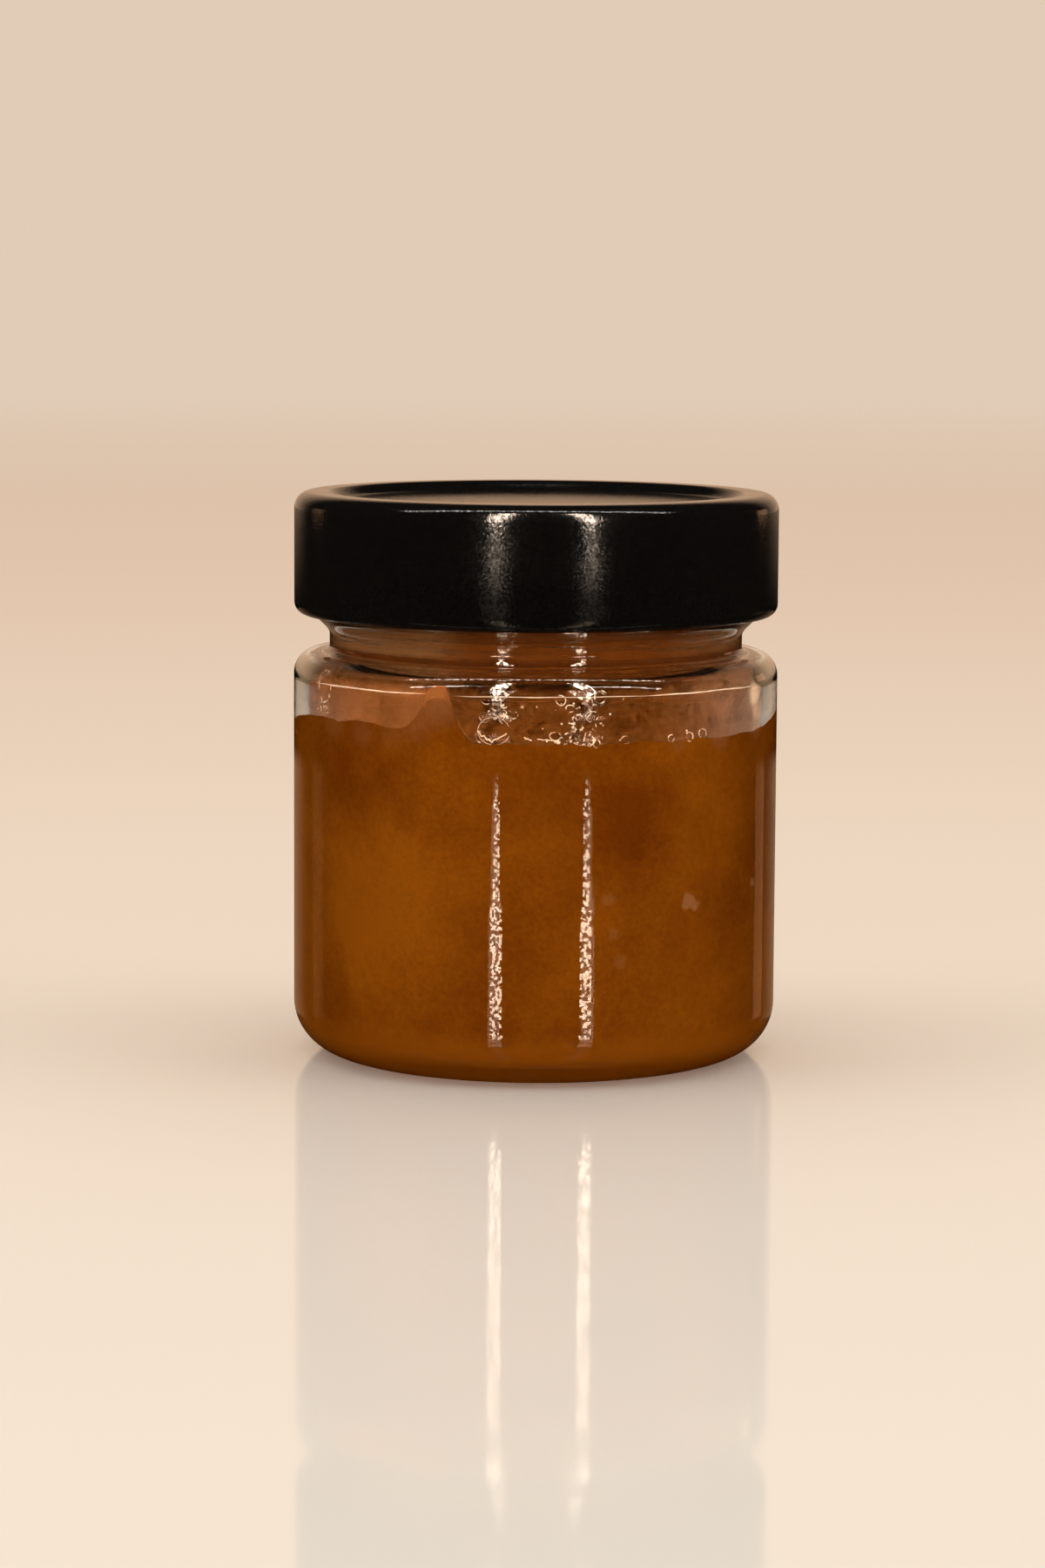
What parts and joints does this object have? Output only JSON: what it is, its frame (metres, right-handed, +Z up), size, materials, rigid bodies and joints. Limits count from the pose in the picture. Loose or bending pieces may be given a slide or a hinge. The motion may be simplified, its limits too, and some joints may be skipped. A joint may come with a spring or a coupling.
{
  "type": "jar of amber preserve",
  "caption": "Squat round clear-glass jar filled to its shoulder with thick cloudy amber preserve, shut by a tall black twist-off lid with a raised rim and a sunk top panel.",
  "frame": {"origin": "middle of the base, on the surface that the jar stands on", "axes": "+Z up along the jar's axis, -Y towards the viewer of the picture, +X to the viewer's right"},
  "size_m": [0.0724, 0.0724, 0.0842],
  "materials": {
    "clear_glass": "clear, polished, slightly uneven",
    "amber_preserve": "thick, cloudy, wet where it meets the glass",
    "black_lacquer": "satin black lacquer over pressed steel"
  },
  "bodies": {
    "root": {"jar_glass": "clear_glass", "preserve": "amber_preserve", "lid": "black_lacquer"}
  },
  "joints": []
}
